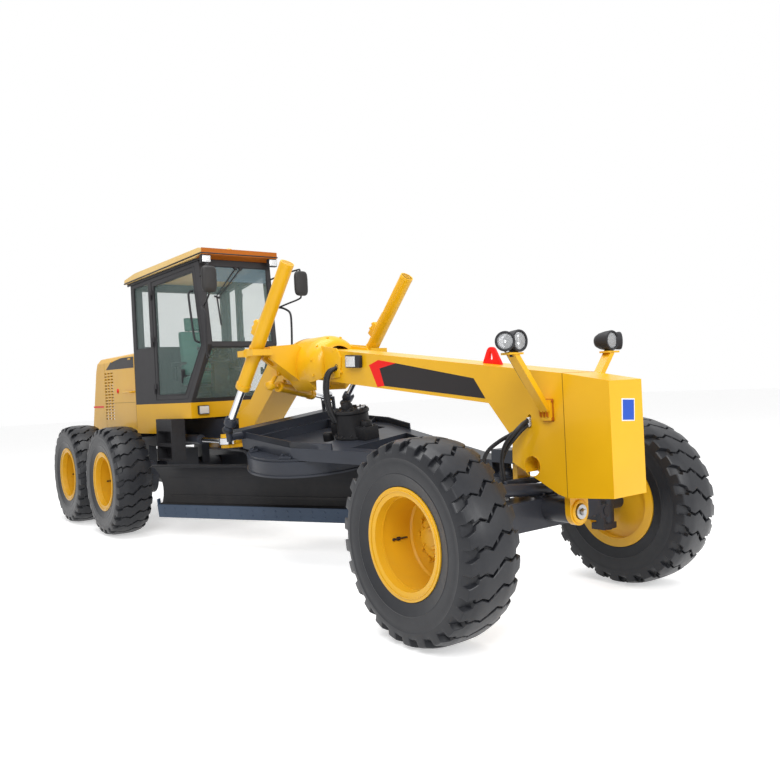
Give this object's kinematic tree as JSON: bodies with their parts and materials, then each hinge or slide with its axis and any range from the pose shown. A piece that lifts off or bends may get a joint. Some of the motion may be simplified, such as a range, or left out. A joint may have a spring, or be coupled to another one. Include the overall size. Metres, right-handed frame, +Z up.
{
  "type": "motor grader",
  "caption": "Articulated six-wheeled motor grader with a cab, a long bowed front frame, leaning steered front wheels, tandem rear wheels and a blade on a turning circle.",
  "frame": {"origin": "on the ground, half-way along the machine and across it", "axes": "+X forward towards the nose weight, +Y to the left, +Z up"},
  "size_m": [9.285, 2.625, 3.5375],
  "materials": {
    "tyre": "satin rubber",
    "rim_paint": "gloss",
    "yellow_paint": "gloss",
    "slate_paint": "gloss",
    "red_paint": "gloss",
    "edge_steel": "satin",
    "chrome_rod": "polished",
    "cab_paint": "satin",
    "glass": "clear",
    "black_plastic": "matte",
    "lamp": "gloss"
  },
  "bodies": {
    "rear": {"rear_frame": "slate_paint", "hood": "yellow_paint", "rear_grille": "black_plastic", "engine": "black_plastic", "cab_base": "yellow_paint", "cab_frame": "cab_paint", "cab_roof": "yellow_paint", "cab_glass": "glass", "cab_interior": "black_plastic", "rear_axle": "slate_paint", "step_boxes": "slate_paint", "mirrors_and_work_lamps": "black_plastic", "rear_bumper": "slate_paint"},
    "front": {"front_frame": "yellow_paint", "nose_weight": "yellow_paint", "lamp_arms": "yellow_paint", "headlamps": "lamp", "saddle": "yellow_paint", "lifting_eye": "red_paint", "drawbar_mount": "slate_paint", "front_axle": "slate_paint"},
    "lean_bar": {"lean_bar": "slate_paint"},
    "tie_ball": {"tie_rod_ball": "slate_paint"},
    "tie_rod": {"tie_rod": "slate_paint"},
    "drawbar": {"drawbar": "slate_paint", "swing_drive": "slate_paint"},
    "circle": {"circle": "slate_paint"},
    "carrier": {"blade_carrier": "slate_paint"},
    "blade": {"blade": "slate_paint", "cutting_edge": "edge_steel"},
    "shift_barrel": {"shift_barrel": "yellow_paint"},
    "shift_rod": {"shift_rod": "chrome_rod"},
    "lean_left": {"lean_bracket_left": "slate_paint"},
    "knuckle_left": {"knuckle_left": "slate_paint"},
    "wheel_front_left": {"tyre_front_left": "tyre", "rim_front_left": "rim_paint"},
    "wheel_mid_left": {"tyre_mid_left": "tyre", "rim_mid_left": "rim_paint"},
    "wheel_rear_left": {"tyre_rear_left": "tyre", "rim_rear_left": "rim_paint"},
    "lift_barrel_left": {"lift_barrel_left": "yellow_paint"},
    "lift_rod_left": {"lift_rod_left": "chrome_rod"},
    "hitch_barrel_left": {"hitch_barrel_left": "slate_paint"},
    "hitch_rod_left": {"hitch_rod_left": "chrome_rod"},
    "door_left": {"door_left": "cab_paint", "door_glass_left": "glass"},
    "lean_right": {"lean_bracket_right": "slate_paint"},
    "knuckle_right": {"knuckle_right": "slate_paint"},
    "wheel_front_right": {"tyre_front_right": "tyre", "rim_front_right": "rim_paint"},
    "wheel_mid_right": {"tyre_mid_right": "tyre", "rim_mid_right": "rim_paint"},
    "wheel_rear_right": {"tyre_rear_right": "tyre", "rim_rear_right": "rim_paint"},
    "lift_barrel_right": {"lift_barrel_right": "yellow_paint"},
    "lift_rod_right": {"lift_rod_right": "chrome_rod"},
    "hitch_barrel_right": {"hitch_barrel_right": "slate_paint"},
    "hitch_rod_right": {"hitch_rod_right": "chrome_rod"},
    "door_right": {"door_right": "cab_paint", "door_glass_right": "glass"}
  },
  "joints": [
    {"name": "articulation", "type": "hinge", "parent": "rear", "child": "front", "pos_m": [-0.8225, 0, 1.3], "axis": [0, 0, 1], "range_deg": [-27, 27]},
    {"name": "hitch_barrel_left_swing", "type": "hinge", "parent": "rear", "child": "hitch_barrel_left", "pos_m": [-2.0725, 0.38, 1.155], "axis": [0, 0, 1], "range_deg": [-5.5, 5.5]},
    {"name": "hitch_rod_left_slide", "type": "slide", "parent": "hitch_barrel_left", "child": "hitch_rod_left", "axis": [1, 0, 0], "range_m": [-0.18221, 0.18221]},
    {"name": "hitch_barrel_right_swing", "type": "hinge", "parent": "rear", "child": "hitch_barrel_right", "pos_m": [-2.0725, -0.38, 1.155], "axis": [0, 0, 1], "range_deg": [-5.5, 5.5]},
    {"name": "hitch_rod_right_slide", "type": "slide", "parent": "hitch_barrel_right", "child": "hitch_rod_right", "axis": [1, 0, 0], "range_m": [-0.18221, 0.18221]},
    {"name": "wheel_lean_left", "type": "hinge", "parent": "front", "child": "lean_left", "pos_m": [3.8275, 0.665, 0.64], "axis": [1, 0, 0], "range_deg": [-17, 17]},
    {"name": "steer_left", "type": "hinge", "parent": "lean_left", "child": "knuckle_left", "pos_m": [3.8275, 0.79, 0.675], "axis": [0, 0, 1], "range_deg": [-50, 50]},
    {"name": "wheel_front_left", "type": "hinge", "parent": "knuckle_left", "child": "wheel_front_left", "pos_m": [3.8275, 1.09, 0.675], "axis": [0, 1, 0], "continuous": true},
    {"name": "wheel_lean_right", "type": "hinge", "parent": "front", "child": "lean_right", "pos_m": [3.8275, -0.665, 0.64], "axis": [1, 0, 0], "range_deg": [-17, 17]},
    {"name": "steer_right", "type": "hinge", "parent": "lean_right", "child": "knuckle_right", "pos_m": [3.8275, -0.79, 0.675], "axis": [0, 0, 1], "range_deg": [-50, 50]},
    {"name": "wheel_front_right", "type": "hinge", "parent": "knuckle_right", "child": "wheel_front_right", "pos_m": [3.8275, -1.09, 0.675], "axis": [0, 1, 0], "continuous": true},
    {"name": "lean_bar_turn", "type": "hinge", "parent": "lean_left", "child": "lean_bar", "pos_m": [3.7655, 0.665, 0.94], "axis": [1, 0, 0], "range_deg": [-17.3, 17.3]},
    {"name": "tie_ball_turn", "type": "hinge", "parent": "knuckle_left", "child": "tie_ball", "pos_m": [3.5975, 0.79, 0.6], "axis": [0, 0, 1], "range_deg": [-51, 51]},
    {"name": "tie_rod_turn", "type": "hinge", "parent": "tie_ball", "child": "tie_rod", "pos_m": [3.5975, 0.79, 0.6], "axis": [1, 0, 0], "range_deg": [-17.3, 17.3]},
    {"name": "wheel_mid_left", "type": "hinge", "parent": "rear", "child": "wheel_mid_left", "pos_m": [-2.2035, 1.09, 0.675], "axis": [0, 1, 0], "continuous": true},
    {"name": "wheel_mid_right", "type": "hinge", "parent": "rear", "child": "wheel_mid_right", "pos_m": [-2.2035, -1.09, 0.675], "axis": [0, 1, 0], "continuous": true},
    {"name": "wheel_rear_left", "type": "hinge", "parent": "rear", "child": "wheel_rear_left", "pos_m": [-3.7415, 1.09, 0.675], "axis": [0, 1, 0], "continuous": true},
    {"name": "wheel_rear_right", "type": "hinge", "parent": "rear", "child": "wheel_rear_right", "pos_m": [-3.7415, -1.09, 0.675], "axis": [0, 1, 0], "continuous": true},
    {"name": "drawbar_lift", "type": "hinge", "parent": "front", "child": "drawbar", "pos_m": [3.5275, 0, 0.96], "axis": [0, 1, 0], "range_deg": [-12, 2.4]},
    {"name": "lift_barrel_left_swing", "type": "hinge", "parent": "front", "child": "lift_barrel_left", "pos_m": [0.8645, 0.702, 2.08], "axis": [-0.0738, 0.9973, 0.0056], "range_deg": [-19.14, 3.83]},
    {"name": "lift_rod_left_slide", "type": "slide", "parent": "lift_barrel_left", "child": "lift_rod_left", "axis": [-0.6596, -0.0446, -0.7503], "range_m": [-0.11964, 0.59818]},
    {"name": "lift_barrel_right_swing", "type": "hinge", "parent": "front", "child": "lift_barrel_right", "pos_m": [0.8645, -0.702, 2.08], "axis": [-0.1979, 0.9802, 0.0027], "range_deg": [-14.77, 2.95]},
    {"name": "lift_rod_right_slide", "type": "slide", "parent": "lift_barrel_right", "child": "lift_rod_right", "axis": [-0.5392, -0.1066, -0.8354], "range_m": [-0.1224, 0.61198]},
    {"name": "shift_barrel_swing", "type": "hinge", "parent": "front", "child": "shift_barrel", "pos_m": [0.6975, -0.455, 1.765], "axis": [0.9269, 0.3657, -0.0839], "range_deg": [-31.56, 6.31]},
    {"name": "shift_rod_slide", "type": "slide", "parent": "shift_barrel", "child": "shift_rod", "axis": [-0.3749, 0.9121, -0.1661], "range_m": [-0.0573, 0.28648]},
    {"name": "circle_turn", "type": "hinge", "parent": "drawbar", "child": "circle", "pos_m": [0.9284, -0.01363, 1.0608], "axis": [0.068, -0.1337, 0.9887], "continuous": true},
    {"name": "blade_tilt", "type": "hinge", "parent": "circle", "child": "carrier", "pos_m": [0.79805, 0.24011, 0.61383], "axis": [0.8889, 0.458, 0.0008], "range_deg": [-5, 32]},
    {"name": "blade_shift", "type": "slide", "parent": "carrier", "child": "blade", "axis": [0.8889, 0.458, 0.0008], "range_m": [-0.218, 0.682]},
    {"name": "door_left", "type": "hinge", "parent": "rear", "child": "door_left", "pos_m": [-1.985, 0.64333, 2.4], "axis": [0, 0, 1], "range_deg": [0, 95]},
    {"name": "door_right", "type": "hinge", "parent": "rear", "child": "door_right", "pos_m": [-1.985, -0.64333, 2.4], "axis": [0, 0, 1], "range_deg": [-95, 0]}
  ],
  "couplings": [
    {"joint": "hitch_barrel_left_swing", "follows": "articulation", "ratio": 0.19973},
    {"joint": "hitch_rod_left_slide", "follows": "articulation", "m_per_rad": -0.37909},
    {"joint": "hitch_barrel_right_swing", "follows": "articulation", "ratio": 0.19973},
    {"joint": "hitch_rod_right_slide", "follows": "articulation", "m_per_rad": 0.37909},
    {"joint": "wheel_lean_right", "follows": "wheel_lean_left", "ratio": 1},
    {"joint": "steer_right", "follows": "steer_left", "ratio": 1},
    {"joint": "lean_bar_turn", "follows": "wheel_lean_left", "ratio": -1},
    {"joint": "tie_ball_turn", "follows": "steer_left", "ratio": -1},
    {"joint": "tie_rod_turn", "follows": "wheel_lean_left", "ratio": -0.84177},
    {"joint": "lift_barrel_left_swing", "follows": "drawbar_lift", "ratio": 1.5637},
    {"joint": "lift_rod_left_slide", "follows": "drawbar_lift", "m_per_rad": -2.8001},
    {"joint": "lift_barrel_right_swing", "follows": "drawbar_lift", "ratio": 1.2067},
    {"joint": "lift_rod_right_slide", "follows": "drawbar_lift", "m_per_rad": -2.8647},
    {"joint": "shift_barrel_swing", "follows": "drawbar_lift", "ratio": 2.5786},
    {"joint": "shift_rod_slide", "follows": "drawbar_lift", "m_per_rad": -1.341}
  ]
}
